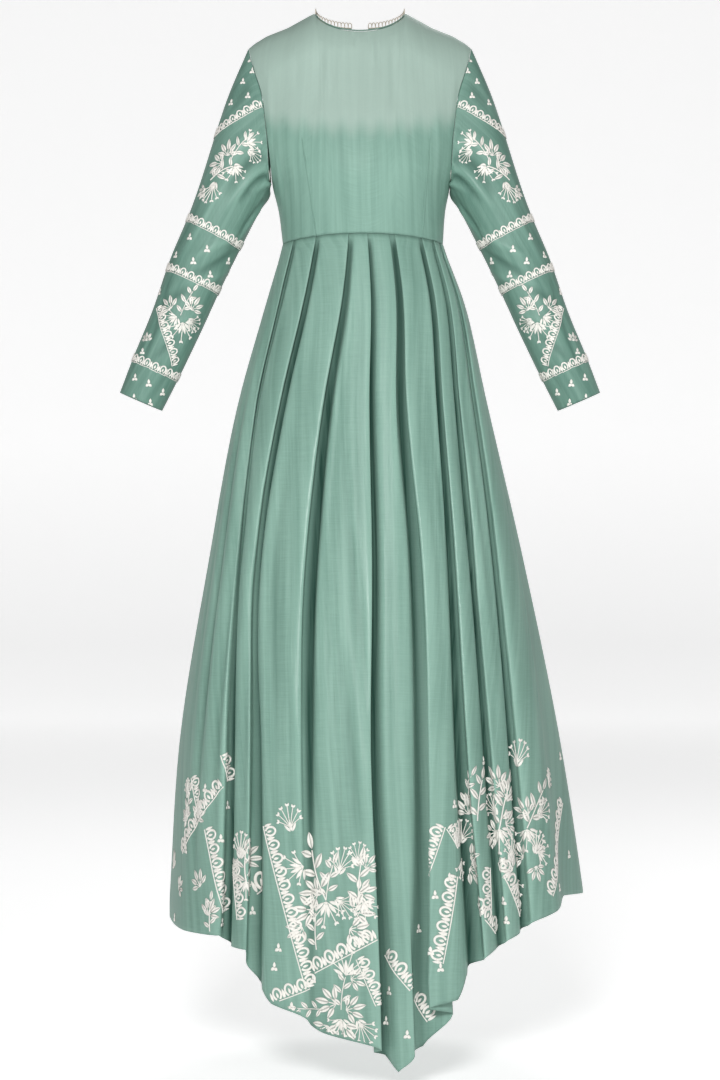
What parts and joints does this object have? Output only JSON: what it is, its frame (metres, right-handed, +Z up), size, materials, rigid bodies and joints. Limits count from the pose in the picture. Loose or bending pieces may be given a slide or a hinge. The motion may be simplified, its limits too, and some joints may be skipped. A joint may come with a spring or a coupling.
{
  "type": "anarkali gown",
  "caption": "Long-sleeved anarkali gown with a fitted bodice, sheer yoke, long pleated skirt with a pointed front hem, and ivory floral embroidery.",
  "frame": {"origin": "midway between the two neck points at the top of the shoulder seams, where the wearer's shoulders hold the gown", "axes": "+Z up, the front faces -Y, +X to the right as the front is seen (the wearer's left)"},
  "size_m": [0.741, 0.5574, 1.5932],
  "materials": {
    "sage_silk": "sage green silk chanderi with a soft sheen and fine crosswise slubs",
    "lining": "plain pale sage lining",
    "piping": "deep sage bias-cut piping",
    "ivory_thread": "matt ivory embroidery and crochet thread"
  },
  "bodies": {
    "root": {"bodice_front": "sage_silk", "bodice_back_left": "sage_silk", "bodice_back_right": "sage_silk", "lining_front": "lining", "lining_back_left": "lining", "lining_back_right": "lining", "sleeve_left": "sage_silk", "sleeve_right": "sage_silk", "skirt_front": "sage_silk", "skirt_back": "sage_silk", "neck_piping": "piping", "neck_trim_left": "ivory_thread", "neck_trim_right": "ivory_thread"}
  },
  "joints": []
}
